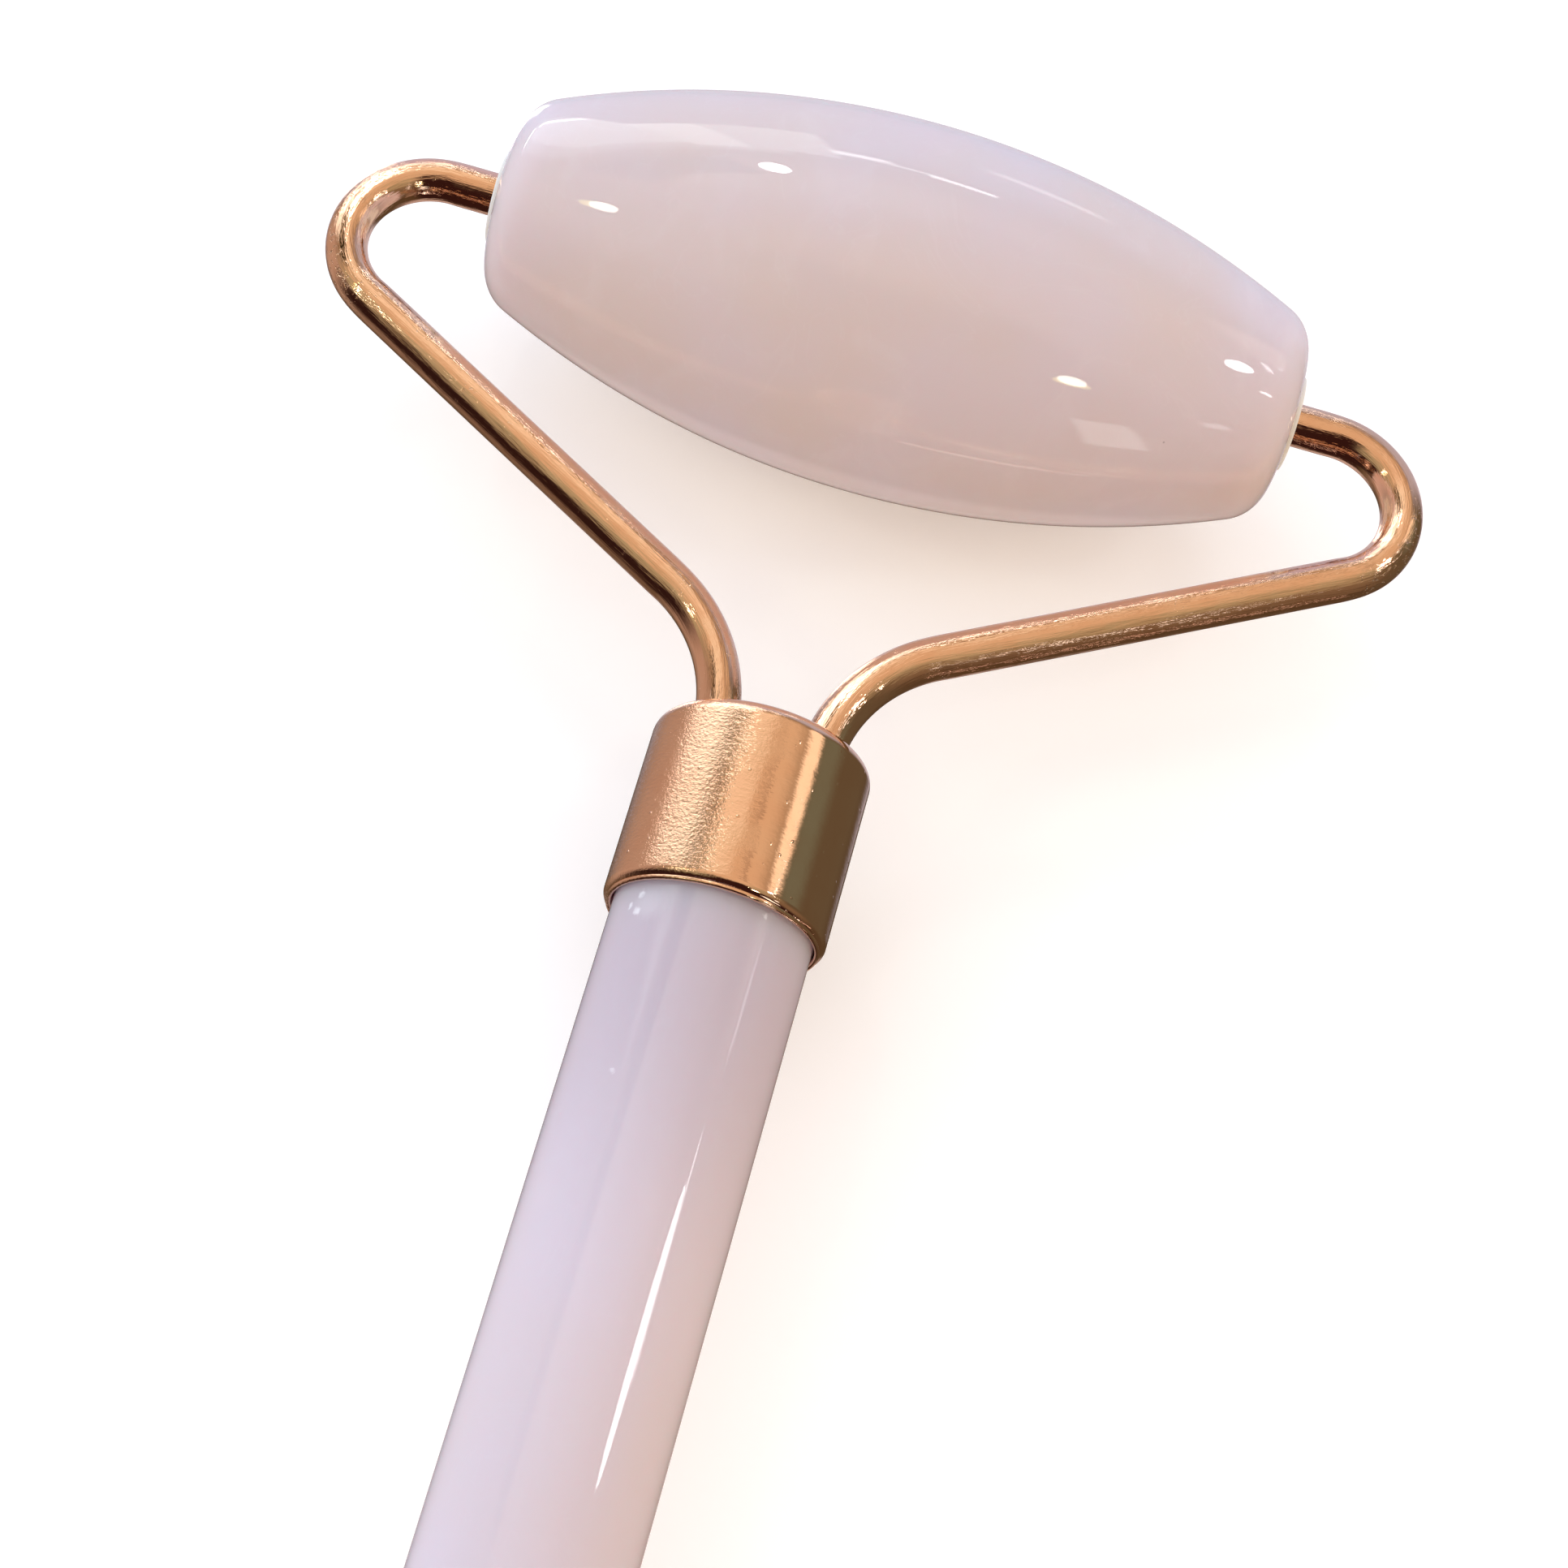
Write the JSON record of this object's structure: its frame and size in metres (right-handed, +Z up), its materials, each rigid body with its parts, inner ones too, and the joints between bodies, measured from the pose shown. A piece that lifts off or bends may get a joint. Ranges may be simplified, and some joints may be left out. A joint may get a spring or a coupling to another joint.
{
  "type": "face roller",
  "caption": "Polished stone face roller: barrel-shaped rollers spin in sprung wire forks at each end of a round stone handle.",
  "frame": {"origin": "on the resting surface, under the middle of the whole tool's length and width", "axes": "+Y along the handle towards the large roller, +X along the roller axes, +Z up as the tool lies flat"},
  "size_m": [0.058, 0.145, 0.0194],
  "materials": {
    "roller_stone": "high polish, translucent pale lilac-pink",
    "handle_stone": "high polish, translucent pale lilac",
    "plated_wire": "bright rose-gold plate",
    "plated_cap": "rose-gold plate with a fine pitted satin texture",
    "bush": "ivory moulded nylon",
    "adhesive": "cured epoxy"
  },
  "bodies": {
    "frame": {"handle": "handle_stone", "large_ferrule": "plated_cap", "large_ferrule_adhesive": "adhesive", "large_fork": "plated_wire", "small_ferrule": "plated_cap", "small_ferrule_adhesive": "adhesive", "small_fork": "plated_wire"},
    "large_roller": {"large_roller_stone": "roller_stone", "large_roller_bush_left": "bush", "large_roller_bush_right": "bush"},
    "small_roller": {"small_roller_stone": "roller_stone", "small_roller_bush_left": "bush", "small_roller_bush_right": "bush"}
  },
  "joints": [
    {"name": "large_roller_spin", "type": "hinge", "parent": "frame", "child": "large_roller", "pos_m": [0, 0.06282, 0.00968], "axis": [1, 0, 0], "continuous": true},
    {"name": "small_roller_spin", "type": "hinge", "parent": "frame", "child": "small_roller", "pos_m": [0, -0.06578, 0.00968], "axis": [1, 0, 0], "continuous": true}
  ]
}
